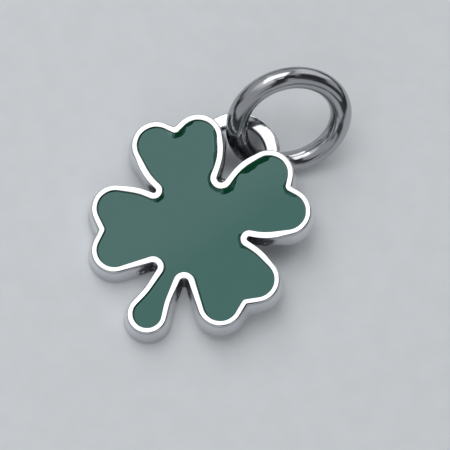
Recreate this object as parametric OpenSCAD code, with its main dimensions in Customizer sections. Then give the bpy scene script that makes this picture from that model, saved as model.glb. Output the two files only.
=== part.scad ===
// Clover pendant, lying as it rests by itself: an enamelled four-leaf clover with a stem,
// a flat round eye between its upper leaves, and a jump ring through the eye.
// The clover is drawn flat, face up, with its stem along -Y, and is then laid down at rest.

/* [Clover] */
// Thickness of the clover, from its flat back to its rim
clover_t = 1.2; // [1:0.05:1.4]
// Depth of the recess that the enamel fills
recess_d = 0.35; // [0.2:0.05:0.4]
// Height of the rim's rounded outer edge
edge_h = 0.07; // [0.04:0.01:0.1]
// Height of the rounded edge at the back
heel_h = 0.12; // [0.06:0.01:0.16]
// Angle of each facet along the outline
facet_a = 15; // [10:1:20]

/* [Enamel] */
// Gap between the enamel and the wall of its recess
enamel_gap = 0.01; // [0.01:0.005:0.03]
// How far the enamel's surface lies below the rim
enamel_sink = 0.02; // [0:0.01:0.05]

/* [Eye] */
// Width of the eye's band, from its hole to its outer edge
eye_w = 0.69; // [0.6:0.01:0.72]
// Thickness of the eye's band
eye_t = 0.5; // [0.4:0.02:0.56]
// Outer diameter of the eye
eye_od = 4; // [3.9:0.02:4.1]
// Distance from the clover's middle to the eye's middle
eye_y = 3.38; // [3.3:0.02:3.46]
// Height of the eye's flat top above the clover's back
eye_top = 0.6; // [0.56:0.02:0.64]
// Rounding of the eye's outer edges
eye_outer_r = 0.08; // [0.04:0.01:0.12]
// Rounding of the edges around the eye's hole
eye_inner_r = 0.16; // [0.14:0.01:0.18]

/* [Jump ring] */
// Thickness of the jump ring's wire
ring_wire_d = 1; // [0.8:0.05:1]
// Outer diameter of the jump ring
ring_od = 5.9; // [5.8:0.05:6]
// Lean of the jump ring from flat on the clover
ring_lean = 55.5; // [54:0.1:58]
// Heading of the jump ring's axis on the clover
ring_heading = -46.7; // [-48:0.1:-45]
// Middle of the jump ring across the clover
ring_x = 1.4; // [1.36:0.01:1.42]
// Middle of the jump ring along the clover
ring_y = 5.83; // [5.8:0.01:5.86]
// Middle of the jump ring above the clover's back
ring_z = 0.78; // [0.74:0.01:0.82]

/* [Hidden] */
$fn = 96;
ROUNDING_STEPS = 4;

// The outline is a belt that runs round pins, from the gap between the upper leaves down to the
// stem's end. Side is 1 where the belt bulges round a pin and -1 where a pin cuts a gap into it.
// At 0 the pin lies in a leaf's notch, a lift clear of both lobes, and takes its place from them.
// Rim is the rim's width at the pin, and flare is how far the wall spreads from the rim to the back.
X = 0;
Y = 1;
R = 2;
SIDE = 3;
RIM = 4;
FLARE = 5;
LIFT = 6;
HALF = [
    //  x,     y,     r,    side, rim,  flare, lift
    [0.00,  1.87,  0.23, -1,   0.28, 0.16,  0],     // gap between the upper leaves
    [3.07,  1.85,  2.80,  1,   0.26, 0.11,  0],     // inner side of the upper leaf
    [1.83,  3.08,  1.07,  1,   0.22, 0.22,  0],     // its inner lobe
    [0,     0,     0.06,  0,   0.20, 0.00,  0.06],  // its notch
    [3.35,  1.87,  1.08,  1,   0.20, 0.22,  0],     // its outer lobe
    [1.75,  2.88,  2.90,  1,   0.28, 0.08,  0],     // its lower side
    [2.46, -0.07,  0.13, -1,   0.28, 0.08,  0],     // gap between the upper and lower leaf
    [2.50, -2.95,  2.72,  1,   0.26, 0.08,  0],     // upper side of the lower leaf
    [3.60, -1.62,  1.05,  1,   0.20, 0.22,  0],     // its outer lobe
    [0,     0,     0.06,  0,   0.20, 0.00,  0.14],  // its notch
    [2.72, -3.38,  1.00,  1,   0.20, 0.22,  0],     // its inner lobe
    [0.80, -3.27,  0.24, -1,   0.27, 0.16,  0],     // gap beside the stem
    [3.60, -3.85,  3.00, -1,   0.22, 0.20,  0],     // hollow side of the stem
    [0.00, -5.34,  0.86,  1,   0.21, 0.22,  0],     // stem's end
];
LOWER_LOBE = HALF[10];
STEM_END = HALF[13];

function mirrored(pin) = [for (k = [0:len(pin) - 1]) k == X ? -pin[k] : pin[k]];

// All pins, counter-clockwise: down the left half and up the right one.
CHAIN = concat([for (pin = HALF) mirrored(pin)], [for (k = [len(HALF) - 2:-1:1]) HALF[k]]);
PINS = len(CHAIN);

function before(k) = (k + PINS - 1) % PINS;
function after(k) = (k + 1) % PINS;

// Signed radius of a pin: positive where the belt bulges round it. Spread widens the belt.
function belt_radius(pin, rim, flare, spread) =
    (pin[SIDE] > 0 ? 1 : -1) * pin[R] - rim * pin[RIM] + flare * pin[FLARE] + spread;

// Outer one of the two points that lie ra from a and rb from b.
function outer_meeting(a, b, ra, rb) =
    let (d = norm(b - a), u = (b - a) / d, along = (ra ^ 2 - rb ^ 2 + d ^ 2) / (2 * d))
        a + u * along + [u.y, -u.x] * sqrt(ra ^ 2 - along ^ 2);

function middle(k) = [CHAIN[k][X], CHAIN[k][Y]];

function seat(k, radii) =
    CHAIN[k][SIDE] != 0
        ? middle(k)
        : outer_meeting(
              middle(before(k)),
              middle(after(k)),
              radii[before(k)] - radii[k] + CHAIN[k][LIFT],
              radii[after(k)] - radii[k] + CHAIN[k][LIFT]
          );

// Heading of the belt from one pin to the next.
function heading(a, b, ra, rb) = atan2(b.y - a.y, b.x - a.x) - asin((rb - ra) / norm(b - a));

// Turn of the belt at a pin: to the left round a bulge, to the right round a gap.
function turn(side, a) = side > 0 ? (a % 360 + 360) % 360 : (a % 360 - 360) % 360;

// Each pin's [middle, radius, first heading, turn] on one belt.
function belt_arcs(rim, flare, spread) =
    let (
        radii = [for (pin = CHAIN) belt_radius(pin, rim, flare, spread)],
        seats = [for (k = [0:PINS - 1]) seat(k, radii)],
        ways = [
            for (k = [0:PINS - 1])
                heading(seats[k], seats[after(k)], radii[k], radii[after(k)])
        ]
    )
        [
            for (k = [0:PINS - 1])
                [seats[k], radii[k], ways[before(k)], turn(CHAIN[k][SIDE], ways[k] - ways[before(k)])]
        ];

// Facets at each pin, the same on every belt, so that belts join point to point.
FACETS = [for (arc = belt_arcs(0, 0, 0)) max(1, ceil(abs(arc[3]) / facet_a))];

function belt(rim, flare, spread) =
    let (arcs = belt_arcs(rim, flare, spread))
        [
            for (k = [0:PINS - 1])
                for (j = [0:FACETS[k]])
                    let (a = arcs[k][2] + arcs[k][3] * j / FACETS[k])
                        arcs[k][0] + arcs[k][1] * [sin(a), -cos(a)]
        ];

// Corners of the wall's section, from the rim's inner edge over the top and down to the back.
// Rim and flare are the shares of each pin's rim width and flare that the corner stands at.
EDGE_SHARE = 0.28;
HEEL_SHARE = 0.6;
Z = 0;
SHARE_RIM = 1;
SHARE_FLARE = 2;
WALL = [
    //  z,                        rim, flare
    [clover_t,                    1,   0],
    [clover_t,                    0,   0],
    [clover_t - 0.3 * edge_h,     0,   0.6 * EDGE_SHARE],
    [clover_t - edge_h,           0,   EDGE_SHARE],
    [heel_h,                      0,   1],
    [0,                           0,   HEEL_SHARE],
    [0,                           1,   0],
];

recess_z = clover_t - recess_d;
eye_r = (eye_od - eye_w) / 2;
ring_r = (ring_od - ring_wire_d) / 2;

module wall() {
    belts = [for (row = WALL) belt(row[SHARE_RIM], row[SHARE_FLARE], 0)];
    n = len(belts[0]);
    rows = len(WALL);
    points = [for (k = [0:rows - 1]) for (p = belts[k]) [p.x, p.y, WALL[k][Z]]];
    faces = [
        for (k = [0:rows - 1])
            for (i = [0:n - 1])
                let (
                    a = k * n + i,
                    b = k * n + (i + 1) % n,
                    c = (k + 1) % rows * n + (i + 1) % n,
                    d = (k + 1) % rows * n + i
                )
                    each [[a, b, c], [a, c, d]]
    ];
    polyhedron(points, faces);
}

module back_plate() {
    linear_extrude(recess_z) polygon(belt(0.5, 0, 0));
}

// Quarter of a rounding, about a middle and from a first angle.
function rounding(middle, r, first) =
    [for (j = [0:ROUNDING_STEPS]) let (a = first + 90 * j / ROUNDING_STEPS) middle + r * [cos(a), sin(a)]];

// Section of the eye's band, around its middle: the hole lies to its left.
function band(w, t, outer_r, inner_r) =
    concat(
        rounding([w / 2 - outer_r, t / 2 - outer_r], outer_r, 0),
        rounding([inner_r - w / 2, t / 2 - inner_r], inner_r, 90),
        rounding([inner_r - w / 2, inner_r - t / 2], inner_r, 180),
        rounding([w / 2 - outer_r, outer_r - t / 2], outer_r, 270)
    );

module eye() {
    translate([0, eye_y, eye_top - eye_t / 2])
        rotate_extrude()
            translate([eye_r, 0]) polygon(band(eye_w, eye_t, eye_outer_r, eye_inner_r));
}

// The pendant rests on the clover's back edge and on the jump ring, which tips the clover up.
// Tip_heading is the heading of the raised side: the back's edge then meets the floor at the
// stem's end and at the lower left lobe together.
function unit(a) = [cos(a), sin(a)];
function heel_radius(pin) = belt_radius(pin, 0, HEEL_SHARE, 0);
stem_foot = [STEM_END[X], STEM_END[Y]];
lobe_foot = [-LOWER_LOBE[X], LOWER_LOBE[Y]];
tip_heading = heading(lobe_foot, stem_foot, heel_radius(LOWER_LOBE), heel_radius(STEM_END)) + 90;

function up(tip) = [sin(tip) * cos(tip_heading), sin(tip) * sin(tip_heading), cos(tip)];
function clover_low(tip) = sin(tip) * (stem_foot * unit(tip_heading) - heel_radius(STEM_END));
ring_middle = [ring_x, ring_y, ring_z];
ring_axis = [sin(ring_lean) * cos(ring_heading), sin(ring_lean) * sin(ring_heading), cos(ring_lean)];
function ring_low(tip) =
    ring_middle * up(tip) - ring_r * sqrt(1 - (ring_axis * up(tip)) ^ 2) - ring_wire_d / 2;

// Halves the span of angles until the ring and the clover's edge are equally low.
function settle(lo, hi, rounds) =
    let (mid = (lo + hi) / 2)
        rounds == 0 ? mid
            : ring_low(mid) < clover_low(mid) ? settle(mid, hi, rounds - 1)
            : settle(lo, mid, rounds - 1);
tip = settle(0, 20, 24);

// Middle of the resting pendant along its length, between the stem's end and the ring's far side.
// Way is the direction of that length, seen from the clover.
way = [
    -sin(tip_heading) * cos(tip_heading) * (1 - cos(tip)),
    cos(tip) + cos(tip_heading) ^ 2 * (1 - cos(tip)),
    -sin(tip_heading) * sin(tip),
];
stem_reach = stem_foot.y * way.y - belt_radius(STEM_END, 0, 1, 0);
ring_reach = ring_middle * way + ring_r * sqrt(1 - (ring_axis * way) ^ 2) + ring_wire_d / 2;
length_mid = (stem_reach + ring_reach) / 2;

module at_rest() {
    translate([0, -length_mid, -clover_low(tip)])
        rotate(tip, [sin(tip_heading), -cos(tip_heading), 0])
            children();
}

module clover_frame() color("silver") at_rest() {
    wall();
    back_plate();
    eye();
}

module enamel() color("seagreen") at_rest() {
    translate([0, 0, recess_z])
        linear_extrude(recess_d - enamel_sink) polygon(belt(1, 0, -enamel_gap));
}

module jump_ring() color("gray") at_rest() {
    translate(ring_middle)
        rotate([0, ring_lean, ring_heading])
            rotate_extrude() translate([ring_r, 0]) circle(d = ring_wire_d);
}

clover_frame();
enamel();
jump_ring();
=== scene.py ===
"""Builds the look of a clover pendant lying on a pale floor, as it rests by itself.

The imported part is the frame. The metal clover with its eye, the enamel and the jump ring are
modelled here at a finer grain. Each is drawn in the clover's own frame, in millimetres, with the
clover flat and face up and its stem along -Y, and is then laid down at rest, in metres.
"""

import logging
import math
from dataclasses import dataclass, field
from enum import Enum
from typing import Sequence

import bmesh
import bpy
from mathutils import Matrix, Vector


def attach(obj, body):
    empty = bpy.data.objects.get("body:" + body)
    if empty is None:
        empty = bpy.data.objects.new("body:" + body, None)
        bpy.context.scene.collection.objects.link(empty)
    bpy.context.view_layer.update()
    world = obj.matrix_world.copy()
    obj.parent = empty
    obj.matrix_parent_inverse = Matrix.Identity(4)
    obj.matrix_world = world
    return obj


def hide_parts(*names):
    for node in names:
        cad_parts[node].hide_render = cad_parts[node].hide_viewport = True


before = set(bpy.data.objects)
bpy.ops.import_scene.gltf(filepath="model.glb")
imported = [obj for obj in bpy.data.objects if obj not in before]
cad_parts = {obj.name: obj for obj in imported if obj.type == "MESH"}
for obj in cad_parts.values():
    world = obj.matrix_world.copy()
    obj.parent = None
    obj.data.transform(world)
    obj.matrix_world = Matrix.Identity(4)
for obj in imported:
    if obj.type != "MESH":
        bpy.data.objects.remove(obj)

Triple = tuple[float, float, float]

LOG = logging.getLogger("pendant")
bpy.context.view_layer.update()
MM = 0.001
ORIGIN = (0.0, 0.0, 0.0)
# The spin operator turns clockwise.
SPIN_WAY = -1.0
LINE_MERGE = 1e-4
SHELL_MERGE = 1e-5
VECTOR = "NodeSocketVector"
VALUE = "NodeSocketFloat"
RANGE_SOCKETS = ("Value", "From Min", "From Max", "To Min", "To Max")
GAP_REACH = 0.8
GAP_PLACES = (
    (0.0, 2.0, 0.5),
    (-0.40, 2.35, 0.15),
    (-0.70, 3.05, 0.15),
    (-2.35, -0.07, 0.5),
    (2.35, -0.07, 0.5),
    (2.95, 0.10, 0.6),
    (-0.85, -3.35, 0.5),
    (0.85, -3.35, 0.5),
)
EYE_REACH = 1.2
EYE_PLACES = ((0.3, 3.3, 0.2), (0.2, 3.9, 0.0))


class Side(Enum):
    """What the outline does at a pin."""

    BULGE = 1
    NOTCH = 0
    GAP = -1


class Axis(Enum):
    """Directions that a piece is spun or turned about."""

    ACROSS = (1.0, 0.0, 0.0)
    ALONG = (0.0, 1.0, 0.0)
    UPRIGHT = (0.0, 0.0, 1.0)


class Detail(Enum):
    """How many finer layers a noise has."""

    SMOOTH = 0.0
    UNEVEN = 1.0
    ROUGH = 2.0
    FIBROUS = 3.0


def direction(tip: float, heading: float) -> Vector:
    """Returns the upright direction after it is tipped towards a heading, in radians."""
    level = math.sin(tip)
    return Vector((level * math.cos(heading), level * math.sin(heading), math.cos(tip)))


@dataclass(frozen=True)
class Pin:
    """One round pin that the outline runs past, in millimetres.

    A pin in a notch takes its place from its neighbours, and stands a lift clear of both lobes.
    """

    x: float
    y: float
    r: float
    side: Side
    rim: float
    flare: float
    lift: float = 0.0

    @property
    def place(self) -> Vector:
        """The pin's middle."""
        return Vector((self.x, self.y))

    def mirrored(self) -> "Pin":
        """Returns the same pin on the other half of the clover."""
        return Pin(-self.x, self.y, self.r, self.side, self.rim, self.flare, self.lift)

    def radius(self, rim: float, flare: float, spread: float = 0.0) -> float:
        """Signed radius of the outline at this pin.

        Args:
            rim: share of the rim's width that the outline lies inside the rim's outer edge.
            flare: share of the wall's flare that it lies outside that edge.
            spread: further distance outwards.

        Returns:
            A radius that is positive where the outline bulges.
        """
        way = 1.0 if self.side is Side.BULGE else -1.0
        return way * self.r - rim * self.rim + flare * self.flare + spread


@dataclass(frozen=True)
class Arc:
    """A stretch of the outline round one pin."""

    centre: Vector
    radius: float
    start: float
    turn: float
    steps: int

    def place(self, share: float) -> Vector:
        """Returns the point at a share of the arc's turn."""
        a = self.start + self.turn * share
        return self.centre + self.radius * Vector((math.sin(a), -math.cos(a)))


@dataclass
class Outline:
    """The clover's outline, as a belt round pins from the top gap down to the stem's end.

    The columns of the half are x, y, radius, side, rim's width, wall's flare and lift.
    """

    facet: float = math.radians(5.0)
    half: tuple[Pin, ...] = (
        Pin(0.00, 1.87, 0.23, Side.GAP, 0.28, 0.16),
        Pin(3.07, 1.85, 2.80, Side.BULGE, 0.26, 0.11),
        Pin(1.83, 3.08, 1.07, Side.BULGE, 0.22, 0.22),
        Pin(0.00, 0.00, 0.06, Side.NOTCH, 0.20, 0.00, 0.06),
        Pin(3.35, 1.87, 1.08, Side.BULGE, 0.20, 0.22),
        Pin(1.75, 2.88, 2.90, Side.BULGE, 0.28, 0.08),
        Pin(2.46, -0.07, 0.13, Side.GAP, 0.28, 0.08),
        Pin(2.50, -2.95, 2.72, Side.BULGE, 0.26, 0.08),
        Pin(3.60, -1.62, 1.05, Side.BULGE, 0.20, 0.22),
        Pin(0.00, 0.00, 0.06, Side.NOTCH, 0.20, 0.00, 0.14),
        Pin(2.72, -3.38, 1.00, Side.BULGE, 0.20, 0.22),
        Pin(0.80, -3.27, 0.24, Side.GAP, 0.27, 0.16),
        Pin(3.60, -3.85, 3.00, Side.GAP, 0.22, 0.20),
        Pin(0.00, -5.34, 0.86, Side.BULGE, 0.21, 0.22),
    )
    pins: list[Pin] = field(init=False)
    steps: list[int] = field(init=False)

    def __post_init__(self) -> None:
        """Mirrors the half into the whole belt, counter-clockwise."""
        self.pins = [pin.mirrored() for pin in self.half] + list(self.half[-2:0:-1])
        self.steps = [1] * len(self.pins)
        self.steps = [max(1, math.ceil(abs(arc.turn) / self.facet)) for arc in self.arcs(0.0, 0.0)]

    @property
    def stem(self) -> Pin:
        """The pin at the stem's end."""
        return self.half[-1]

    @property
    def low_lobe(self) -> Pin:
        """The lower lobe of the lower left leaf."""
        return self.half[-4].mirrored()

    def arcs(self, rim: float, flare: float, spread: float = 0.0) -> list[Arc]:
        """Works out one belt.

        Args:
            rim: share of the rim's width inside its outer edge.
            flare: share of the wall's flare outside it.
            spread: further distance outwards.

        Returns:
            One arc for each pin, in order.
        """
        coming = [*range(1, len(self.pins)), 0]
        radii = [pin.radius(rim, flare, spread) for pin in self.pins]
        seats = [self._seat(k, n, radii) for k, n in enumerate(coming)]
        ways = [self.heading(seats[k], seats[n], radii[k], radii[n]) for k, n in enumerate(coming)]
        belt = []
        for k, pin in enumerate(self.pins):
            turn = (ways[k] - ways[k - 1]) % math.tau
            if pin.side is not Side.BULGE:
                turn -= math.tau
            belt.append(Arc(seats[k], radii[k], ways[k - 1], turn, self.steps[k]))
        return belt

    @staticmethod
    def heading(a: Vector, b: Vector, ra: float, rb: float) -> float:
        """Returns the heading of the belt from one pin to the next."""
        way = b - a
        return math.atan2(way.y, way.x) - math.asin((rb - ra) / way.length)

    def _seat(self, k: int, coming: int, radii: Sequence[float]) -> Vector:
        """Finds the middle of a pin; a notch pin meets both of its neighbours.

        Args:
            k: number of the pin.
            coming: number of the next one.
            radii: signed radii of all the pins.

        Returns:
            The middle.
        """
        pin, a, b = self.pins[k], self.pins[k - 1].place, self.pins[coming].place
        if pin.side is not Side.NOTCH:
            return pin.place
        ra = radii[k - 1] - radii[k] + pin.lift
        rb = radii[coming] - radii[k] + pin.lift
        gap = (b - a).length
        way = (b - a) / gap
        along = (ra * ra - rb * rb + gap * gap) / (2.0 * gap)
        off = math.sqrt(ra * ra - along * along)
        return a + way * along + Vector((way.y, -way.x)) * off


@dataclass(frozen=True)
class Row:
    """One corner of a section that is swept round the outline."""

    z: float
    rim: float
    flare: float = 0.0
    spread: float = 0.0


class Bench:
    """Hand tools of the workshop: selecting, joining, sweeping and closing in edit mode."""

    @staticmethod
    def clear() -> None:
        """Leaves edit mode and deselects everything."""
        if bpy.context.object and bpy.context.object.mode != "OBJECT":
            bpy.ops.object.mode_set(mode="OBJECT")
        bpy.ops.object.select_all(action="DESELECT")

    @staticmethod
    def take(pieces: Sequence[bpy.types.Object]) -> None:
        """Selects some objects alone and makes the first the active one.

        Args:
            pieces: the objects.
        """
        Bench.clear()
        for piece in pieces:
            piece.select_set(True)
        bpy.context.view_layer.objects.active = pieces[0]

    @staticmethod
    def belt(k: int) -> str:
        """Returns the name of a section's belt."""
        return f"belt_{k:02d}"

    @staticmethod
    def pick(piece: bpy.types.Object, *belts: int) -> None:
        """Selects the numbered belts of the piece that is in edit mode, and nothing else.

        Args:
            piece: the piece.
            belts: the belts' numbers.
        """
        bpy.ops.mesh.select_all(action="DESELECT")
        for k in belts:
            piece.vertex_groups.active_index = piece.vertex_groups[Bench.belt(k)].index
            bpy.ops.object.vertex_group_select()

    @staticmethod
    def sweep(name: str, outline: Outline, rows: Sequence[Row]) -> bpy.types.Object:
        """Stacks a belt for each row of a section, bridges them, and moves each to its height.

        Args:
            name: name of the piece.
            outline: the outline that the section runs round.
            rows: the section's corners.

        Returns:
            The swept shell, with a flat face across its first and its last belt. It is in edit
            mode, with the last face selected.
        """
        belts = [
            Pen.trace(Bench.belt(k), outline.arcs(row.rim, row.flare, row.spread), float(k))
            for k, row in enumerate(rows)
        ]
        Bench.take(belts)
        bpy.ops.object.join()
        made = bpy.context.object
        made.name = name
        bpy.ops.object.mode_set(mode="EDIT")
        last = len(rows) - 1
        for k in range(last):
            Bench.pick(made, k, k + 1)
            bpy.ops.mesh.bridge_edge_loops()
        for k, row in enumerate(rows):
            Bench.pick(made, k)
            bpy.ops.transform.translate(value=(0.0, 0.0, row.z - k))
        for k in (0, last):
            Bench.pick(made, k)
            bpy.ops.mesh.edge_face_add()
        return made

    @staticmethod
    def close(piece: bpy.types.Object) -> None:
        """Merges doubles, turns all faces outwards and leaves edit mode.

        Args:
            piece: the piece that is in edit mode.
        """
        bpy.ops.mesh.select_all(action="SELECT")
        bpy.ops.mesh.remove_doubles(threshold=SHELL_MERGE)
        bpy.ops.mesh.normals_make_consistent(inside=False)
        bpy.ops.object.mode_set(mode="OBJECT")
        piece.vertex_groups.clear()

    @staticmethod
    def place(piece: bpy.types.Object, where: Matrix) -> None:
        """Puts a piece at its place and applies it, so that the object stays at the origin.

        Args:
            piece: the piece.
            where: the move.
        """
        Bench.take([piece])
        piece.matrix_world = where @ piece.matrix_world
        bpy.ops.object.transform_apply(location=True, rotation=True, scale=True)

    @staticmethod
    def smooth(piece: bpy.types.Object, angle: float) -> None:
        """Shades a piece smooth, apart from edges sharper than the angle in degrees."""
        Bench.take([piece])
        bpy.ops.object.shade_smooth_by_angle(angle=math.radians(angle))

    @staticmethod
    def spin_round(steps: int) -> None:
        """Spins what is selected in edit mode once round the upright axis."""
        bpy.ops.mesh.spin(steps=steps, angle=math.tau, center=ORIGIN, axis=Axis.UPRIGHT.value)


class Pen:
    """Draws a closed line, with a single vertex that is extruded to places and spun round them."""

    def __init__(self, name: str) -> None:
        """Adds an object of one vertex at the origin, and leaves it in edit mode.

        Args:
            name: the object's name.
        """
        Bench.clear()
        bpy.ops.mesh.primitive_plane_add(size=1.0)
        self.piece = bpy.context.object
        self.piece.name = name
        self.here = Vector(ORIGIN)
        self.first: Vector | None = None
        bpy.ops.object.mode_set(mode="EDIT")
        bpy.ops.mesh.select_mode(type="VERT")
        bpy.ops.mesh.select_all(action="SELECT")
        bpy.ops.mesh.merge(type="CENTER")

    def draw(self, there: Vector) -> None:
        """Moves the first vertex to a place, or extrudes the line there.

        Args:
            there: the place.
        """
        step = there - self.here
        if self.first is None:
            self.first = there
            bpy.ops.transform.translate(value=step)
        else:
            bpy.ops.mesh.extrude_vertices_move(TRANSFORM_OT_translate={"value": step})
        self.here = there

    def swing(self, centre: Triple, axis: Axis, turn: float, steps: int, there: Vector) -> None:
        """Spins the line's end round a centre.

        Args:
            centre: the centre.
            axis: axis of the turn.
            turn: angle, counter-clockwise.
            steps: number of edges.
            there: where it comes out.
        """
        bpy.ops.mesh.spin(steps=steps, angle=SPIN_WAY * turn, center=centre, axis=axis.value)
        self.here = there

    def close(self) -> bpy.types.Object:
        """Joins the line's end to its first vertex.

        Returns:
            The line, selected all over in edit mode.
        """
        self.draw(self.first)
        bpy.ops.mesh.select_all(action="SELECT")
        bpy.ops.mesh.remove_doubles(threshold=LINE_MERGE)
        return self.piece

    @staticmethod
    def trace(name: str, arcs: Sequence[Arc], z: float) -> bpy.types.Object:
        """Draws a belt round the pins.

        Args:
            name: name of the belt and of the vertex group that it is put in.
            arcs: the belt's arcs, in order.
            z: height of the belt.

        Returns:
            The belt as an object of its own, in object mode.
        """
        pen = Pen(name)
        level = Vector((0.0, 0.0, z))
        for arc in arcs:
            centre = (arc.centre.x, arc.centre.y, z)
            start, end = (arc.place(share).to_3d() + level for share in (0.0, 1.0))
            pen.draw(start)
            pen.swing(centre, Axis.UPRIGHT, arc.turn, arc.steps, end)
        made = pen.close()
        bpy.ops.object.vertex_group_add()
        made.vertex_groups.active.name = name
        bpy.ops.object.vertex_group_assign()
        bpy.ops.object.mode_set(mode="OBJECT")
        return made


class Piece:
    """A piece of the pendant, which is modelled in the clover's frame and laid down at rest."""

    node = ""
    slot = ""

    def build(self) -> bpy.types.Object:
        """Models the piece; each piece has its own way."""
        raise NotImplementedError

    @staticmethod
    def dress(made: bpy.types.Object, finish: bpy.types.Material) -> None:
        """Gives a piece one finish all over."""
        made.data.materials.clear()
        made.data.materials.append(finish)

    def lay_down(self, where: Matrix, finish: bpy.types.Material) -> None:
        """Models the piece, lays it down, dresses it and puts it in its CAD node's place.

        Args:
            where: move from the clover's frame to the floor's.
            finish: the material that the piece is made of.
        """
        made = self.build()
        Bench.place(made, where)
        self.dress(made, finish)
        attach(made, "root")
        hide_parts(self.node)
        LOG.info("%s: %d faces", made.name, len(made.data.polygons))


@dataclass
class JumpRing(Piece):
    """The round-wire ring that passes through the eye."""

    node = "jump_ring"
    slot = "polished_metal"

    wire_d: float = 1.0
    outer_d: float = 5.9
    lean: float = 55.5
    heading: float = -46.7
    middle: Triple = (1.4, 5.83, 0.78)
    steps_round: int = 288
    steps_wire: int = 72
    sharp: float = 40.0

    @property
    def radius(self) -> float:
        """Radius of the wire's centreline."""
        return (self.outer_d - self.wire_d) / 2.0

    @property
    def axis(self) -> Vector:
        """Direction of the ring's axis."""
        return direction(math.radians(self.lean), math.radians(self.heading))

    @property
    def stance(self) -> Matrix:
        """Move that leans the flat ring and hangs it in the eye.

        Returns:
            The move, from the ring's own frame to the clover's.
        """
        turn = Matrix.Rotation(math.radians(self.heading), 4, "Z")
        lean = Matrix.Rotation(math.radians(self.lean), 4, "Y")
        return Matrix.Translation(self.middle) @ turn @ lean

    def reach(self, way: Vector) -> float:
        """Returns how far the ring reaches from its middle in a direction."""
        return self.radius * math.sqrt(1.0 - self.axis.dot(way) ** 2) + self.wire_d / 2.0

    def build(self) -> bpy.types.Object:
        """Spins the wire's round section into a ring.

        Returns:
            The ring, leaning as it lies, in the clover's frame.
        """
        Bench.clear()
        bpy.ops.mesh.primitive_circle_add(
            vertices=self.steps_wire,
            radius=self.wire_d / 2.0,
            location=(self.radius, 0.0, 0.0),
            rotation=(math.pi / 2.0, 0.0, 0.0),
        )
        made = bpy.context.object
        made.name = "jump_ring_wire"
        Bench.place(made, Matrix.Identity(4))
        bpy.ops.object.mode_set(mode="EDIT")
        bpy.ops.mesh.select_all(action="SELECT")
        Bench.spin_round(self.steps_round)
        Bench.close(made)
        Bench.place(made, self.stance)
        Bench.smooth(made, self.sharp)
        return made


@dataclass
class Rest:
    """How the pendant lies: on the clover's back edge and on the jump ring."""

    outline: Outline
    ring: JumpRing
    heel_share: float = 0.6
    rounds: int = 40
    steepest: float = math.radians(20.0)
    heading: float = field(init=False)
    tip: float = field(init=False)

    def __post_init__(self) -> None:
        """Finds the tilt at which the ring and the clover's edge are equally low."""
        lobe, stem = self.outline.low_lobe, self.outline.stem
        edge = Outline.heading(lobe.place, stem.place, self.foot(lobe), self.foot(stem))
        self.heading = edge + math.pi / 2.0
        low, high = 0.0, self.steepest
        for _ in range(self.rounds):
            mid = (low + high) / 2.0
            if self.ring_low(mid) < self.clover_low(mid):
                low = mid
            else:
                high = mid
        self.tip = (low + high) / 2.0

    def foot(self, pin: Pin) -> float:
        """Returns the radius of the back edge on which the clover stands, at a pin."""
        return pin.radius(0.0, self.heel_share)

    def ring_low(self, tip: float) -> float:
        """Returns the ring's lowest height at a tilt."""
        up = direction(tip, self.heading)
        return Vector(self.ring.middle).dot(up) - self.ring.reach(up)

    def clover_low(self, tip: float) -> float:
        """Returns the lowest height of the clover's back edge at a tilt."""
        stem, toward = self.outline.stem, Vector((math.cos(self.heading), math.sin(self.heading)))
        return math.sin(tip) * (stem.place.dot(toward) - self.foot(stem))

    @property
    def turn(self) -> Matrix:
        """Rotation that lays the flat clover down at rest."""
        axis = Vector((math.sin(self.heading), -math.cos(self.heading), 0.0))
        return Matrix.Rotation(self.tip, 3, axis)

    @property
    def matrix(self) -> Matrix:
        """Whole move from the clover's frame, in millimetres, to the floor's, in metres.

        Returns:
            The move, which also centres the pendant's length on the origin.
        """
        stem = self.outline.stem
        way = self.turn.transposed() @ Vector(Axis.ALONG.value)
        stem_reach = stem.y * way.y - stem.radius(0.0, 1.0)
        ring_reach = Vector(self.ring.middle).dot(way) + self.ring.reach(way)
        shift = Vector((0.0, -(stem_reach + ring_reach) / 2.0, -self.clover_low(self.tip)))
        return Matrix.Scale(MM, 4) @ Matrix.Translation(shift) @ self.turn.to_4x4()


@dataclass
class Eye:
    """The flat round eye between the upper leaves, in the clover's frame."""

    width: float = 0.69
    thickness: float = 0.5
    outer_d: float = 4.0
    y: float = 3.38
    top: float = 0.6
    outer_r: float = 0.11
    inner_r: float = 0.16
    crown: float = 0.010
    steps: int = 240
    corner_steps: int = 6

    def build(self) -> bpy.types.Object:
        """Traces the band's section and spins it round the eye's middle.

        Returns:
            The eye, in the clover's frame.
        """
        middle = (self.outer_d - self.width) / 2.0
        half_w, half_t = self.width / 2.0, self.thickness / 2.0
        right, left = middle + half_w - self.outer_r, middle - half_w + self.inner_r
        corners = (
            (right, half_t - self.outer_r, self.outer_r, 0.0, 0.0),
            (left, half_t - self.inner_r, self.inner_r, 90.0, self.crown),
            (left, self.inner_r - half_t, self.inner_r, 180.0, 0.0),
            (right, self.outer_r - half_t, self.outer_r, 270.0, 0.0),
        )
        pen = Pen("eye_band")
        for x, z, r, angle, rise in corners:
            start, end = (
                Vector((x + r * math.cos(a), 0.0, z + r * math.sin(a)))
                for a in (math.radians(angle), math.radians(angle + 90.0))
            )
            if rise:
                pen.draw((start + pen.here) / 2.0 + Vector((0.0, 0.0, rise)))
            pen.draw(start)
            pen.swing((x, 0.0, z), Axis.ALONG, -math.pi / 2.0, self.corner_steps, end)
        made = pen.close()
        Bench.spin_round(self.steps)
        Bench.close(made)
        Bench.place(made, Matrix.Translation((0.0, self.y, self.top - half_t)))
        return made


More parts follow.
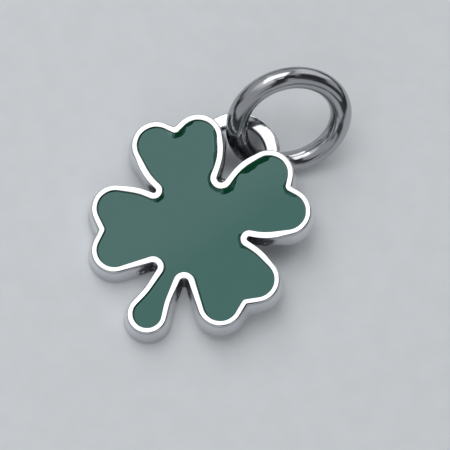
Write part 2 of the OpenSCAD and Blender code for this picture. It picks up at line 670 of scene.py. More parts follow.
@dataclass
class CloverFrame(Piece):
    """The metal clover: its wall, raised rim, recessed face, flat back and eye."""

    node = "clover_frame"
    slot = "polished_metal"

    outline: Outline
    eye: Eye
    thickness: float = 1.2
    recess: float = 0.35
    edge_h: float = 0.07
    edge_share: float = 0.28
    lip_h: float = 0.03
    lip_share: float = 0.12
    heel_h: float = 0.12
    heel_share: float = 0.6
    margin: float = 0.04
    rounding: int = 4
    sharp: float = 30.0

    def rows(self) -> list[Row]:
        """Works out the section, from the recess's floor over the rim and down to the back.

        Returns:
            The section's corners.
        """
        top, below, above = self.thickness, self.margin, 1.0 - self.margin
        quarter = [math.pi / 2.0 * k / self.rounding for k in range(self.rounding + 1)]
        arc = [(1.0 - math.sin(a), 1.0 - math.cos(a)) for a in quarter]
        lip = [Row(top - self.lip_h * s, 1.0 - self.lip_share * c) for s, c in arc]
        edge = [Row(top - self.edge_h * c, 0.0, self.edge_share * (1.0 - s)) for s, c in arc]
        heel = [Row(self.heel_h * s, 0.0, 1.0 - (1.0 - self.heel_share) * c) for s, c in arc]
        wall_top = top - self.edge_h
        fall = wall_top - self.heel_h
        gain = 1.0 - self.edge_share
        return [
            Row(top - self.recess, 1.0),
            Row(top - self.lip_h - below, 1.0),
            *lip,
            Row(top, 1.0 - self.lip_share - below),
            Row(top, below),
            *edge,
            Row(wall_top - below * fall, 0.0, self.edge_share + below * gain),
            Row(wall_top - above * fall, 0.0, self.edge_share + above * gain),
            *heel,
            Row(0.0, 0.0, self.heel_share - 2.0 * below),
        ]

    def build(self) -> bpy.types.Object:
        """Sweeps the section round the clover and joins the eye on.

        Returns:
            The metal clover, in its own frame.
        """
        made = Bench.sweep("clover_metal", self.outline, self.rows())
        Bench.close(made)
        eye = self.eye.build()
        Bench.take([made])
        union = made.modifiers.new("eye", "BOOLEAN")
        union.operation = "UNION"
        union.solver = "EXACT"
        union.object = eye
        bpy.ops.object.modifier_apply(modifier=union.name)
        bpy.data.objects.remove(eye)
        Bench.smooth(made, self.sharp)
        return made


@dataclass(frozen=True)
class Climb:
    """A stretch of the rim up which the enamel has crept, in the clover's frame.

    The enamel's edge is raised within a distance of a place, and slopes down evenly from there.
    """

    x: float
    y: float
    along: float
    reach: float
    height: float


@dataclass
class Enamel(Piece):
    """The green fill, which creeps a little up the rim and further in a few places.

    The columns of the climbs are x, y, distance along the rim, reach inwards and height.
    """

    node = "enamel"
    slot = "green_enamel"

    outline: Outline
    top: float = 1.2
    floor: float = 0.85
    gap: float = 0.004
    sink: float = 0.072
    creep: float = 0.014
    creep_reach: float = 0.045
    widths: tuple[float, ...] = (0.012, 0.028, 0.05, 0.08, 0.12, 0.17, 0.23)
    cell: float = 0.085
    half_field: tuple[float, float] = (4.8, 6.2)
    sharp: float = 40.0
    climbs: tuple[Climb, ...] = (
        Climb(-2.72, 2.95, 0.25, 0.26, 0.050),
        Climb(-2.55, 3.55, 0.12, 0.14, 0.036),
        Climb(-1.18, 3.45, 0.30, 0.17, 0.054),
        Climb(-0.88, 2.95, 0.40, 0.20, 0.056),
        Climb(-0.68, 2.45, 0.30, 0.14, 0.040),
        Climb(-0.50, 1.60, 0.35, 0.12, 0.052),
        Climb(-0.10, 1.33, 0.25, 0.12, 0.052),
        Climb(0.45, 1.50, 0.18, 0.26, 0.056),
        Climb(0.85, 3.00, 0.34, 0.29, 0.057),
        Climb(1.15, 3.45, 0.30, 0.26, 0.057),
        Climb(2.80, 2.80, 0.20, 0.15, 0.055),
        Climb(2.05, -0.30, 0.30, 0.16, 0.044),
        Climb(-2.05, -0.30, 0.16, 0.15, 0.040),
    )

    def rows(self) -> list[Row]:
        """Works out the section, from the underside up the side and over the creeping edge.

        Returns:
            The section's corners. The second is the edge that meets the rim.
        """
        level = self.top - self.sink
        creeping = [
            Row(level + self.creep * math.exp(-w / self.creep_reach), 1.0, 0.0, -self.gap - w)
            for w in self.widths
        ]
        return [
            Row(self.floor + self.gap, 1.0, 0.0, -self.gap),
            Row(level + self.creep, 1.0, 0.0, -self.gap),
            *creeping,
        ]

    def _rule(self) -> None:
        """Cuts the face that is selected into cells, so that it can bend."""
        bpy.ops.mesh.select_mode(type="FACE")
        bpy.ops.mesh.hide(unselected=True)
        for axis, half in zip((Axis.ACROSS, Axis.ALONG), self.half_field):
            for k in range(math.floor(2.0 * half / self.cell)):
                at = self.cell * (k + 0.5) - half
                cut = tuple(at * part for part in axis.value)
                bpy.ops.mesh.select_all(action="SELECT")
                bpy.ops.mesh.bisect(plane_co=cut, plane_no=axis.value)
        bpy.ops.mesh.reveal(select=False)
        bpy.ops.mesh.select_mode(type="VERT")

    @staticmethod
    def _raise(made: bpy.types.Object, climb: Climb) -> None:
        """Raises the enamel's edge at one climb, with an even slope down from it.

        Args:
            made: the enamel, in edit mode.
            climb: where and how far.
        """
        bpy.ops.mesh.select_all(action="DESELECT")
        shape = bmesh.from_edit_mesh(made.data)
        layer = shape.verts.layers.deform.active
        edge = made.vertex_groups[Bench.belt(1)].index
        place = Vector((climb.x, climb.y))
        near = [v for v in shape.verts if edge in v[layer] and (v.co.xy - place).length < climb.along]
        LOG.info("climb at %.2f, %.2f takes %d vertices", climb.x, climb.y, len(near))
        for vertex in near:
            vertex.select = True
        shape.select_flush_mode()
        bmesh.update_edit_mesh(made.data)
        bpy.ops.transform.translate(
            value=(0.0, 0.0, climb.height),
            use_proportional_edit=True,
            use_proportional_connected=True,
            proportional_edit_falloff="LINEAR",
            proportional_size=climb.reach,
        )

    def build(self) -> bpy.types.Object:
        """Sweeps the side and the creeping edge, and raises the climbs.

        Returns:
            The enamel, in the clover's frame.
        """
        made = Bench.sweep("enamel_fill", self.outline, self.rows())
        self._rule()
        for climb in self.climbs:
            self._raise(made, climb)
        Bench.close(made)
        Bench.smooth(made, self.sharp)
        return made


class Sketch:
    """Lays out one node tree."""

    def __init__(self, tree: bpy.types.NodeTree) -> None:
        """Starts from a tree."""
        self.tree = tree

    def feed(self, target: bpy.types.NodeSocket, source: object) -> None:
        """Links a socket to a source, or sets it to a plain value.

        Args:
            target: the input socket.
            source: an output socket or a value.
        """
        if isinstance(source, bpy.types.NodeSocket):
            self.tree.links.new(source, target)
        else:
            target.default_value = source

    def add(self, kind: str, inputs: dict[str | int, object], **settings: object) -> bpy.types.NodeOutputs:
        """Adds a node.

        Args:
            kind: type of the node.
            inputs: what its sockets are fed, by name or number.
            settings: its other properties.

        Returns:
            The node's outputs.
        """
        node = self.tree.nodes.new(kind)
        for name, value in settings.items():
            setattr(node, name, value)
        for name, source in inputs.items():
            self.feed(node.inputs[name], source)
        return node.outputs

    def use(self, group: bpy.types.NodeTree, **inputs: object) -> bpy.types.NodeOutputs:
        """Places a node group and returns its outputs."""
        return self.add("ShaderNodeGroup", inputs, node_tree=group)

    def noise(self, place: object, scale: object, detail: Detail) -> object:
        """Returns a noise value, from 0 to 1."""
        inputs = {"Vector": place, "Scale": scale, "Detail": detail.value}
        return self.add("ShaderNodeTexNoise", inputs)["Fac"]

    def span(self, value: object, low: object, high: object, at_low: object, at_high: object) -> object:
        """Maps a value from one range to another, with a smooth step."""
        inputs = dict(zip(RANGE_SOCKETS, (value, low, high, at_low, at_high)))
        return self.add("ShaderNodeMapRange", inputs, interpolation_type="SMOOTHSTEP")["Result"]

    def reckon(self, kind: str, a: object, b: object = 0.0, c: object = 0.0) -> object:
        """Returns the result of one arithmetic node."""
        return self.add("ShaderNodeMath", {0: a, 1: b, 2: c}, operation=kind)[0]

    def vector(self, kind: str, a: object, b: object = ORIGIN) -> object:
        """Returns the value that a vector node puts out."""
        return self.add("ShaderNodeVectorMath", {0: a, 1: b}, operation=kind)["Value"]

    def blend(self, share: object, a: object, b: object) -> object:
        """Mixes two colours."""
        return self.add("ShaderNodeMix", {"Factor": share, 6: a, 7: b}, data_type="RGBA")[2]

    def bump(self, height: object, strength: float, distance: float) -> object:
        """Returns the normal of an uneven surface."""
        inputs = {"Strength": strength, "Distance": distance, "Height": height}
        return self.add("ShaderNodeBump", inputs)["Normal"]


class GroupSketch(Sketch):
    """Lays out a node group that puts out values."""

    def __init__(self, name: str, gives: Sequence[str], takes: dict[str, str] | None = None) -> None:
        """Makes the group and its sockets.

        Args:
            name: the group's name.
            gives: names of its outputs, which are all values.
            takes: kinds of its inputs, by name; a place alone, if not given.
        """
        super().__init__(bpy.data.node_groups.new(name, "ShaderNodeTree"))
        for label, kind in (takes or {"Place": VECTOR}).items():
            self.tree.interface.new_socket(label, in_out="INPUT", socket_type=kind)
        for label in gives:
            self.tree.interface.new_socket(label, in_out="OUTPUT", socket_type=VALUE)
        self.given = self.add("NodeGroupInput", {})
        self.out = self.tree.nodes.new("NodeGroupOutput").inputs

    def finish(self, *results: object) -> bpy.types.NodeTree:
        """Feeds the group's outputs.

        Args:
            results: what they are fed, in their order.

        Returns:
            The group.
        """
        for target, result in zip(self.out, results):
            self.feed(target, result)
        return self.tree


class MaterialSketch(Sketch):
    """Lays out a material, whose patterns read Object coordinates."""

    def __init__(self, name: str) -> None:
        """Makes the material.

        Args:
            name: the material's name.
        """
        self.made = bpy.data.materials.new(name)
        self.made.use_nodes = True
        super().__init__(self.made.node_tree)
        self.place = self.add("ShaderNodeTexCoord", {})["Object"]

    def finish(self, sockets: dict[str, object]) -> bpy.types.Material:
        """Feeds the plain shader's sockets, or sets them to plain values.

        Args:
            sockets: what they are fed or set to, by name.

        Returns:
            The material.
        """
        shader = self.tree.nodes["Principled BSDF"].inputs
        for name, source in sockets.items():
            self.feed(shader[name], source)
        return self.made


@dataclass(frozen=True)
class Handling:
    """The wear of handled things, which all pieces share: faint smudges and a wavy surface."""

    faint: float = 0.35
    strong: float = 0.7
    patch_share: float = 0.6

    def group(self) -> bpy.types.NodeTree:
        """Builds the effect.

        Returns:
            A node group that puts out a smudge mask and a height for a bump.
        """
        takes = {"Place": VECTOR, "Grain": VALUE, "Patch": VALUE}
        sketch = GroupSketch("handling_wear", ("Smudge", "Height"), takes)
        place, grain, patch = (sketch.given[name] for name in takes)
        patches = sketch.noise(place, patch, Detail.UNEVEN)
        fine = sketch.noise(place, grain, Detail.SMOOTH)
        return sketch.finish(
            sketch.span(patches, self.faint, self.strong, 0.0, 1.0),
            sketch.reckon("MULTIPLY_ADD", patches, self.patch_share, fine),
        )


@dataclass(frozen=True)
class SoilAndShade:
    """Unpolished metal and painted shade in narrow places, in millimetres in the clover's frame.

    In the gaps the darker metal is partly unpolished and partly painted shade; on the ring
    inside the eye it is painted shade. It fades out between two shares of its reach, with a
    ragged edge and a few brighter specks. The grains of both are counted in a metre.
    """

    name: str
    places: tuple[Triple, ...]
    reach: float
    inside: float = 0.75
    outside: float = 1.35
    ragged: float = 0.5
    ragged_grain: float = 3000.0
    speck_grain: float = 5200.0
    speck_level: tuple[float, float] = (0.56, 0.68)
    speck_share: float = 0.4

    def group(self, rest: Rest) -> bpy.types.NodeTree:
        """Builds the mask.

        Args:
            rest: how the clover lies.

        Returns:
            A node group that puts out 1 deep in a gap and 0 away from it.
        """
        sketch = GroupSketch(self.name, ("Mask",))
        place, reach = sketch.given["Place"], self.reach * MM
        nearest: object = 1.0
        for middle in self.places:
            apart = sketch.vector("DISTANCE", place, rest.matrix @ Vector(middle))
            nearest = sketch.reckon("MINIMUM", nearest, apart)
        uneven = sketch.noise(place, self.ragged_grain, Detail.ROUGH)
        near = sketch.reckon("MULTIPLY_ADD", uneven, self.ragged * reach, nearest)
        # Unpolished metal and painted shade, strongest nearest the places.
        soiled_and_shaded = sketch.span(near, self.inside * reach, self.outside * reach, 1.0, 0.0)
        grainy = sketch.noise(place, self.speck_grain, Detail.UNEVEN)
        specks = sketch.span(grainy, *self.speck_level, 1.0, self.speck_share)
        return sketch.finish(sketch.reckon("MULTIPLY", soiled_and_shaded, specks))


@dataclass(frozen=True)
class Band:
    """A band of painted shade on the metal: full up to one distance and gone at another."""

    full: float
    gone: float
    strength: float


@dataclass(frozen=True)
class WallShade:
    """Painted shade on the clover's metal, in millimetres.

    It is a darker flat top of the rim that dims its highlight, a painted shade line under the
    rim's edge, a painted contact shadow at the wall's foot, and the wall itself painted a little
    darker towards its foot.
    """

    thickness: float
    line_depth: float = 0.115
    # Painted shade: a line under the rim, a contact shadow at the foot, the wall darker towards it.
    line: Band = Band(0.02, 0.075, 0.9)
    foot: Band = Band(0.02, 0.18, 0.75)
    fade: Band = Band(-0.1, 0.95, 0.36)
    top_depth: tuple[float, float] = (0.06, 0.02)

    def group(self, rest: Rest) -> bpy.types.NodeTree:
        """Builds the masks.

        Args:
            rest: how the clover lies.

        Returns:
            A node group that puts out a mask of the wall's painted shade and one of the rim's darker top.
        """
        sketch = GroupSketch("wall_painted_shade", ("Mask", "Top"))
        upward = rest.matrix.to_3x3().normalized() @ Vector(Axis.UPRIGHT.value)
        level = sketch.vector("DOT_PRODUCT", sketch.given["Place"], upward)
        above = sketch.reckon("SUBTRACT", level, rest.matrix.translation.dot(upward))
        height = sketch.reckon("MULTIPLY", above, 1.0 / MM)
        offset = sketch.reckon("SUBTRACT", height, self.thickness - self.line_depth)
        from_line = sketch.reckon("ABSOLUTE", offset)
        mask: object = 0.0
        # Painted shade line under the rim's edge, painted contact shadow at the foot, darkening towards
        # it.
        for apart, band in ((from_line, self.line), (height, self.foot), (height, self.fade)):
            dull = sketch.span(apart, band.full, band.gone, band.strength, 0.0)
            mask = sketch.reckon("MAXIMUM", mask, dull)
        # The rim's darker flat top: painted shade that dims its highlight.
        low, high = (self.thickness - depth for depth in self.top_depth)
        return sketch.finish(mask, sketch.span(height, low, high, 0.0, 1.0))


@dataclass(frozen=True)
class DrawMarks:
    """The marks that a die leaves along a drawn wire, by their grain in a metre."""

    across: float = 9000.0
    along: float = 260.0

    def group(self, ring: JumpRing, rest: Rest) -> bpy.types.NodeTree:
        """Builds the effect.

        Args:
            ring: the ring that is bent from the wire.
            rest: how the ring lies.

        Returns:
            A node group that puts out a height, which hardly changes along the wire.
        """
        sketch = GroupSketch("draw_marks", ("Height",))
        to_floor = rest.matrix @ ring.stance
        turn = to_floor.to_3x3().normalized()
        moved = {0: sketch.given["Place"], 1: to_floor.translation}
        shifted = sketch.add("ShaderNodeVectorMath", moved, operation="SUBTRACT")["Vector"]
        x, y, z = (sketch.vector("DOT_PRODUCT", shifted, turn.col[k]) for k in range(3))
        square = sketch.reckon("MULTIPLY_ADD", x, x, sketch.reckon("MULTIPLY", y, y))
        section = {
            "X": sketch.reckon("MULTIPLY", sketch.reckon("SQRT", square), self.across),
            "Y": sketch.reckon("MULTIPLY", z, self.across),
            "Z": sketch.reckon("MULTIPLY", x, self.along),
        }
        marks = {
            "Vector": sketch.add("ShaderNodeCombineXYZ", section)["Vector"],
            "W": sketch.reckon("MULTIPLY", y, self.along),
            "Scale": 1.0,
            "Detail": Detail.FIBROUS.value,
        }
        return sketch.finish(sketch.add("ShaderNodeTexNoise", marks, noise_dimensions="4D")["Fac"])


@dataclass(frozen=True)
class Steel:
    """Polished steel with faint wipe marks and an uneven, cast or drawn surface.

    The tint, the shade of the wipe marks and the colours of the unpolished metal and painted
    shade in narrow places, of the painted shade lines and of the rim's darker top are linear.
    The grains are counted in a metre, and the bump's distance is in metres.
    """

    name: str
    tint: Triple
    shade: Triple
    # Colour of the unpolished metal and painted shade in narrow places, and their roughness.
    soil_and_shade: Triple
    nook_roughness: float
    distance: float
    grain: float
    patch: float = 350.0
    roughness: float = 0.06
    dulled: float = 0.12
    bump: float = 1.0
    cast_share: float = 0.15
    # Colour of the painted shade lines on the wall.
    line: Triple = (0.34, 0.345, 0.37)
    # Darker colour of the rim's flat top: painted shade that dims its highlight.
    top: Triple = (0.58, 0.585, 0.60)

    def make(
        self,
        wear: bpy.types.NodeTree,
        soil_and_shade: bpy.types.NodeTree,
        wall_shade: bpy.types.NodeTree | None = None,
        marks: bpy.types.NodeTree | None = None,
    ) -> bpy.types.Material:
        """Builds the material.

        Args:
            wear: the shared wear group.
            soil_and_shade: the mask of unpolished metal and painted shade, left off the rim's top.
            wall_shade: the masks of painted shade on a wall and of its darker top, if it has some.
            marks: the draw marks of a wire, if it is one.

        Returns:
            The material.
        """
        sketch = MaterialSketch(self.name)
        place = sketch.place
        worn = sketch.use(wear, Place=place, Grain=self.grain, Patch=self.patch)
        colour = sketch.blend(worn["Smudge"], (*self.tint, 1.0), (*self.shade, 1.0))
        dull = sketch.span(worn["Smudge"], 0.0, 1.0, self.roughness, self.dulled)
        height, mask = worn["Height"], sketch.use(soil_and_shade, Place=place)["Mask"]
        # Painted shade lines on the wall and the rim's darker top; the gap mask is left off that top.
        if wall_shade is not None:
            dark = sketch.use(wall_shade, Place=place)
            colour = sketch.blend(dark["Mask"], colour, (*self.line, 1.0))
            colour = sketch.blend(dark["Top"], colour, (*self.top, 1.0))
            below = sketch.reckon("SUBTRACT", mask, dark["Top"])
            mask = sketch.span(below, 0.0, 1.0, 0.0, 1.0)
        if marks is not None:
            drawn = sketch.use(marks, Place=place)["Height"]
            height = sketch.reckon("MULTIPLY_ADD", height, self.cast_share, drawn)
        return sketch.finish({
            "Base Color": sketch.blend(mask, colour, (*self.soil_and_shade, 1.0)),
            "Roughness": sketch.reckon("MULTIPLY_ADD", mask, self.nook_roughness, dull),
            "Metallic": 1.0,
            "Normal": sketch.bump(height, self.bump, self.distance),
        })


@dataclass(frozen=True)
class GreenEnamel:
    """Glossy dark-green enamel under a clear coat, whose weight fades one way as a painted sheen.

    The painted sheen is full up to one distance from the origin in that direction, and faintest
    beyond another, both in millimetres.
    """

    deep: Triple = (0.003, 0.043, 0.018)
    pale: Triple = (0.004, 0.048, 0.021)
    veil: Triple = (0.533, 0.943, 1.0)
    index: float = 1.585
    roughness: float = 0.04
    dulled: float = 0.056
    bump: float = 0.05
    distance: float = 1e-5
    grain: float = 1500.0
    patch: float = 260.0
    # Painted sheen: where the coat's weight, and so the enamel's reflection, fades.
    sheen_fades_towards: Triple = (0.902, -0.433, 0.0)
    sheen_fades_from: float = -0.4
    sheen_fades_to: float = 2.8
    faintest_sheen: float = 0.02
    strongest_sheen: float = 0.22

    def make(self, wear: bpy.types.NodeTree) -> bpy.types.Material:
        """Builds the material.

        Args:
            wear: the shared wear group.

        Returns:
            The material.
        """
        sketch = MaterialSketch("green_enamel")
        place = sketch.place
        worn = sketch.use(wear, Place=place, Grain=self.grain, Patch=self.patch)
        along = sketch.vector("DOT_PRODUCT", place, self.sheen_fades_towards)
        full = sketch.span(along, self.sheen_fades_from * MM, self.sheen_fades_to * MM, 1.0, 0.0)
        return sketch.finish({
            "Base Color": sketch.blend(worn["Smudge"], (*self.deep, 1.0), (*self.pale, 1.0)),
            "Roughness": sketch.span(worn["Smudge"], 0.0, 1.0, self.roughness, self.dulled),
            "Normal": sketch.bump(worn["Height"], self.bump, self.distance),
            # Painted sheen: the coat's weight fades towards one side.
            "Coat Weight": sketch.span(full, 0.0, 1.0, self.faintest_sheen, self.strongest_sheen),
            "Coat Roughness": self.roughness,
            "IOR": self.index,
            "Specular Tint": (*self.veil, 1.0),
        })


@dataclass
class Photograph:
    """The camera, placed by how the clover's face stands in the picture.

    The face's normal stands at an elevation out of the picture, and leans to a side counted
    counter-clockwise from the picture's right. The clover's length is turned clockwise from the
    picture's upward direction. All three are in degrees. The middle of the clover's face shows
    at a place counted in pixels from the picture's upper left, and a pixel is in millimetres.
    The clip distances are shares of the camera's own.
    """

    rest: Rest
    elevation: float = 74.8
    leans_to: float = 92.0
    turn: float = 28.6
    pixel: float = 0.0455
    pixels: int = 450
    face_z: float = 1.2
    face_at: tuple[float, float] = (202.1, 213.2)
    lens: float = 500.0
    sensor: float = 36.0
    clip_near: float = 0.1
    clip_far: float = 20.0

    def axes(self) -> tuple[Vector, Vector, Vector]:
        """Finds the camera's own directions.

        Returns:
            The directions right, up and backwards, in the floor's frame.
        """
        el, way, az = (math.radians(a) for a in (self.elevation, self.leans_to, self.turn))
        z = Vector((math.cos(el) * math.cos(way), math.cos(el) * math.sin(way), math.sin(el)))
        lift = -(z.x * math.sin(az) + z.y * math.cos(az)) / z.z
        y = Vector((math.sin(az), math.cos(az), lift)).normalized()
        seen = self.rest.turn @ Matrix((y.cross(z), y, z))
        right, up, back = (Vector(seen.col[k]) for k in range(3))
        return right, up, back

    def level_axes(self) -> tuple[Vector, Vector, Vector]:
        """Lays the camera's directions level.

        Returns:
            The picture's right and upward directions along the floor, and the zenith.
        """
        zenith = Vector(Axis.UPRIGHT.value)
        across = self.axes()[0]
        across.z = 0.0
        across.normalize()
        return across, zenith.cross(across), zenith

    def toward(self, azimuth: float, elevation: float) -> tuple[Vector, Vector]:
        """Finds a direction from the pendant.

        Args:
            azimuth: degrees clockwise from the picture's upward direction along the floor.
            elevation: degrees above the floor.

        Returns:
            The direction, and the level one square to it.
        """
        across, away, zenith = self.level_axes()
        way, rise = math.radians(azimuth), math.radians(elevation)
        level = across * math.sin(way) + away * math.cos(way)
        return level * math.cos(rise) + zenith * math.sin(rise), zenith.cross(level)

    def seen_at(self, across: float, down: float) -> Vector:
        """Finds the place behind a pixel, level with the clover's face.

        Args:
            across: pixels from the picture's left edge.
            down: pixels from its top.

        Returns:
            The place, in the floor's frame.
        """
        right, up, _ = self.axes()
        aside, below = across - self.face_at[0], down - self.face_at[1]
        face = self.rest.matrix @ Vector((0.0, 0.0, self.face_z))
        return face + (right * aside - up * below) * self.pixel * MM

    def on_floor(self, across: float, down: float) -> Vector:
        """Finds where the floor is seen behind a pixel.

        Args:
            across: pixels from the picture's left edge.
            down: pixels from its top.

        Returns:
            The place on the floor.
        """
        seen, back = self.seen_at(across, down), self.axes()[2]
        return seen - back * (seen.z / back.z)

    def build(self) -> None:
        """Makes the scene's camera."""
        right, up, back = self.axes()
        middle = self.pixels / 2.0
        half = math.atan(self.sensor / 2.0 / self.lens)
        distance = middle * self.pixel * MM / math.tan(half)
        data = bpy.data.cameras.new("camera")
        data.lens = self.lens
        data.sensor_width = self.sensor
        data.clip_start = distance * self.clip_near
        data.clip_end = distance * self.clip_far
        made = bpy.data.objects.new("camera", data)
        bpy.context.scene.collection.objects.link(made)
        turn = Matrix((right, up, back)).transposed()
        stand = self.seen_at(middle, middle) + back * distance
        made.matrix_world = Matrix.Translation(stand) @ turn.to_4x4()
        bpy.context.scene.camera = made


@dataclass(frozen=True)
class Card:
    """A lit or black card on the studio's dome, seen from the pendant, with soft edges.

    Its direction is counted as the photograph's toward counts it, and its half sizes and its
    softness are in degrees too.
    """

    azimuth: float
    elevation: float
    half_width: float
    half_height: float
    soft: float
    light: Triple = (0.05, 0.052, 0.058)

    @staticmethod
    def group() -> bpy.types.NodeTree:
        """Builds the mask of a card from a direction.

        Returns:
            A node group that puts out 1 inside the card and 0 outside it.
        """
        takes = dict.fromkeys(("Direction", "Facing", "Side", "Rise"), VECTOR)
        takes |= dict.fromkeys(("Width", "Height", "Soft"), VALUE)
        sketch = GroupSketch("studio_card", ("Mask",), takes)
        way, facing, side, rise, width, height, soft = (sketch.given[name] for name in takes)
        ahead = sketch.vector("DOT_PRODUCT", way, facing)
        mask = sketch.reckon("GREATER_THAN", ahead, 0.0)
        for aside, reach in ((side, width), (rise, height)):
            angle = sketch.reckon("ARCTAN2", sketch.vector("DOT_PRODUCT", way, aside), ahead)
            apart = sketch.reckon("SUBTRACT", sketch.reckon("ABSOLUTE", angle), reach)
            edge = sketch.reckon("DIVIDE", apart, soft)
            mask = sketch.reckon("MULTIPLY", mask, sketch.span(edge, -1.0, 1.0, 1.0, 0.0))
        return sketch.finish(mask)


@dataclass(frozen=True)
class Lamp:
    """A weak square lamp that lights the floor, at a direction counted as a card's."""

    name: str
    azimuth: float
    elevation: float
    size: float
    power: float


@dataclass(frozen=True)
class PaintedShadow:
    """A painted shadow on the floor, by its place and size in the picture's pixels."""

    across: float
    down: float
    radius: float
    soft: float
    strength: float


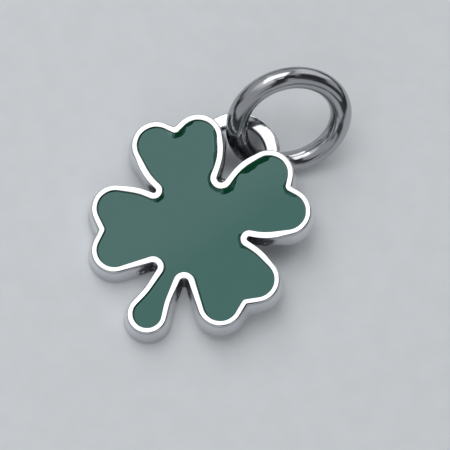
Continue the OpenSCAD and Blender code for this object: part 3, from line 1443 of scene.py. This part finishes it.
@dataclass
class Studio:
    """The floor with its painted glow, the softbox, two weak lamps and the room around them.

    The room lights what is dull by a share of its strength. Beyond the picture's edge the metal
    mirrors the floor as black, from one distance from the origin to another, in metres.
    """

    photograph: Photograph
    distance: float = 0.3
    softbox_up: float = 44.0
    softbox_side: float = -10.0
    softbox_size: tuple[float, float] = (0.195, 0.29)
    softbox_power: float = 0.38
    lamps: tuple[Lamp, ...] = (
        Lamp("fill", 200.0, 36.0, 0.3, 0.18),
        Lamp("overhead", 323.0, 80.0, 0.19, 0.21),
    )
    room: Triple = (0.50, 0.515, 0.54)
    room_share: float = 0.4
    floor_size: float = 4.0
    floor_colour: Triple = (0.585, 0.61, 0.631)
    # Painted light: the floor's own faint glow, which lifts its shadows.
    floor_glow: Triple = (0.10, 0.104, 0.107)
    floor_shade: Triple = (0.04, 0.042, 0.044)
    floor_grain: float = 900.0
    floor_fibres: tuple[float, float] = (0.3, 0.7)
    fibre_share: float = 0.03
    floor_roughness: float = 0.7
    floor_gloss: float = 0.2
    black_from: float = 0.019
    black_to: float = 0.026
    # Painted shadows on the floor: under the eye and in two gaps between the leaves.
    painted_shadows: tuple[PaintedShadow, ...] = (
        PaintedShadow(252.0, 138.0, 5.0, 22.0, 0.76),
        PaintedShadow(232.0, 160.0, 3.0, 19.0, 0.55),
        PaintedShadow(272.0, 246.0, 4.0, 30.0, 0.45),
    )
    cards: tuple[Card, ...] = (
        Card(294.0, 62.0, 30.0, 22.0, 8.0, (1.05, 1.06, 1.08)),
        Card(323.0, 62.0, 16.0, 24.0, 4.0),
        Card(38.0, 30.0, 26.0, 26.0, 6.0, (1.0, 1.02, 1.05)),
        Card(98.0, 50.0, 26.0, 22.0, 5.0),
        Card(115.0, 16.0, 11.0, 20.0, 4.0),
        Card(8.0, 46.0, 4.0, 16.0, 3.0, (0.06, 0.062, 0.07)),
        Card(152.0, 79.0, 15.0, 12.0, 3.0, (0.03, 0.032, 0.035)),
        Card(265.0, 4.0, 9.0, 16.0, 4.0, (0.04, 0.042, 0.048)),
        Card(240.0, 1.0, 70.0, 4.0, 2.5),
        Card(173.0, 45.0, 8.0, 27.0, 3.0),
    )

    def _hang(
        self, name: str, size: tuple[float, float], power: float, facing: Vector, side: Vector
    ) -> bpy.types.Object:
        """Hangs a lamp that points at the pendant.

        Args:
            name: the lamp's name.
            size: its width and height, in metres.
            power: its power, in watts.
            facing: direction from the pendant to it.
            side: direction of its width.

        Returns:
            The lamp.
        """
        data = bpy.data.lights.new(name, "AREA")
        data.shape = "RECTANGLE"
        data.size, data.size_y = size
        data.energy = power
        made = bpy.data.objects.new(name, data)
        bpy.context.scene.collection.objects.link(made)
        turn = Matrix((side, facing.cross(side), facing)).transposed()
        made.matrix_world = Matrix.Translation(facing * self.distance) @ turn.to_4x4()
        return made

    def softbox(self) -> None:
        """Hangs the softbox where the clover's rim mirrors it."""
        right, up, back = self.photograph.axes()
        rise, aside = math.radians(self.softbox_up), math.radians(self.softbox_side)
        ahead = back * math.cos(rise) * math.cos(aside)
        facing = (ahead + up * math.sin(rise) + right * math.sin(aside)).normalized()
        side = (right - facing * right.dot(facing)).normalized()
        self._hang("softbox", self.softbox_size, self.softbox_power, facing, side)

    def weak_lamps(self) -> None:
        """Hangs the weak lamps, which the metal doesn't mirror."""
        for lamp in self.lamps:
            way = self.photograph.toward(lamp.azimuth, lamp.elevation)
            self._hang(lamp.name, (lamp.size, lamp.size), lamp.power, *way).visible_glossy = False

    def surroundings(self) -> None:
        """Paints the room's light and the cards on the dome around the pendant."""
        world = bpy.data.worlds.new("room")
        world.use_nodes = True
        sketch = Sketch(world.node_tree)
        way = sketch.add("ShaderNodeTexCoord", {})["Generated"]
        group = Card.group()
        colour: object = (*self.room, 1.0)
        for card in self.cards:
            facing, side = self.photograph.toward(card.azimuth, card.elevation)
            mask = sketch.use(
                group,
                Direction=way,
                Facing=facing,
                Side=side,
                Rise=facing.cross(side),
                Width=math.radians(card.half_width),
                Height=math.radians(card.half_height),
                Soft=math.radians(card.soft),
            )["Mask"]
            colour = sketch.blend(mask, colour, (*card.light, 1.0))
        spread = sketch.add("ShaderNodeLightPath", {})["Is Diffuse Ray"]
        background = world.node_tree.nodes["Background"].inputs
        sketch.feed(background["Color"], colour)
        sketch.feed(background["Strength"], sketch.span(spread, 0.0, 1.0, 1.0, self.room_share))
        bpy.context.scene.world = world

    def paint(self) -> bpy.types.Material:
        """Builds the floor's paint: pale, faintly uneven, with painted shadows and a painted faint glow.

        Returns:
            The material.
        """
        sketch = MaterialSketch("pale_floor")
        place, pixel = sketch.place, self.photograph.pixel * MM
        fibre = sketch.noise(place, self.floor_grain, Detail.ROUGH)
        shadow = sketch.span(fibre, *self.floor_fibres, 0.0, self.fibre_share)
        # Painted shadows: the floor is darker under the eye and in two gaps between the leaves.
        for shadow_spot in self.painted_shadows:
            centre = self.photograph.on_floor(shadow_spot.across, shadow_spot.down)
            apart = sketch.vector("DISTANCE", place, centre)
            near, far = shadow_spot.radius * pixel, (shadow_spot.radius + shadow_spot.soft) * pixel
            dark = sketch.span(apart, near, far, shadow_spot.strength, 0.0)
            shadow = sketch.reckon("MAXIMUM", shadow, dark)
        away = sketch.vector("LENGTH", place)
        outside = sketch.span(away, self.black_from, self.black_to, 0.0, 1.0)
        mirrored = sketch.add("ShaderNodeLightPath", {})["Is Glossy Ray"]
        black = sketch.reckon("MULTIPLY", outside, mirrored)
        shadow = sketch.reckon("MAXIMUM", shadow, black)
        return sketch.finish({
            "Base Color": sketch.blend(shadow, (*self.floor_colour, 1.0), (*self.floor_shade, 1.0)),
            # Painted light: the floor glows though it is no lamp, except at the painted shadows.
            "Emission Color": sketch.blend(shadow, (*self.floor_glow, 1.0), (*ORIGIN, 1.0)),
            "Emission Strength": 1.0,
            "Roughness": self.floor_roughness,
            "Specular IOR Level": self.floor_gloss,
        })

    def build(self) -> None:
        """Lays the floor, hangs the lamps and paints the room."""
        Bench.clear()
        bpy.ops.mesh.primitive_plane_add(size=self.floor_size)
        floor = bpy.context.object
        floor.name = "floor"
        floor.data.materials.append(self.paint())
        self.softbox()
        self.weak_lamps()
        self.surroundings()
        bpy.context.scene.view_settings.view_transform = "Standard"


def main() -> None:
    """Builds the pendant, its finishes and the studio."""
    logging.basicConfig(level=logging.INFO, format="%(message)s")
    outline = Outline()
    clover = CloverFrame(outline, Eye())
    ring = JumpRing()
    rest = Rest(outline, ring)
    photograph = Photograph(rest)
    photograph.build()
    wear = Handling().group()
    cast = Steel(
        name="polished_steel",
        tint=(0.72, 0.73, 0.76),
        shade=(0.68, 0.69, 0.72),
        soil_and_shade=(0.12, 0.12, 0.13),
        nook_roughness=0.45,
        distance=1.5e-5,
        grain=2200.0,
    )
    drawn = Steel(
        name="drawn_steel",
        tint=(0.47, 0.475, 0.49),
        shade=(0.42, 0.425, 0.44),
        soil_and_shade=(0.12, 0.122, 0.128),
        nook_roughness=0.16,
        distance=1.7e-5,
        grain=2500.0,
    )
    # Unpolished metal and painted shade in the gaps, and painted shade on the ring inside the eye.
    gaps = SoilAndShade("gap_soil_and_shade", GAP_PLACES, GAP_REACH).group(rest)
    hidden = SoilAndShade("eye_painted_shade", EYE_PLACES, EYE_REACH).group(rest)
    # Painted shade lines on the wall and the rim's darker top.
    wall_shade = WallShade(clover.thickness).group(rest)
    marks = DrawMarks().group(ring, rest)
    pieces = (
        (clover, cast.make(wear, gaps, wall_shade=wall_shade)),
        (Enamel(outline), GreenEnamel().make(wear)),
        (ring, drawn.make(wear, hidden, marks=marks)),
    )
    for piece, finish in pieces:
        piece.lay_down(rest.matrix, finish)
    Studio(photograph).build()
    Bench.clear()


if __name__ == "__main__":
    main()
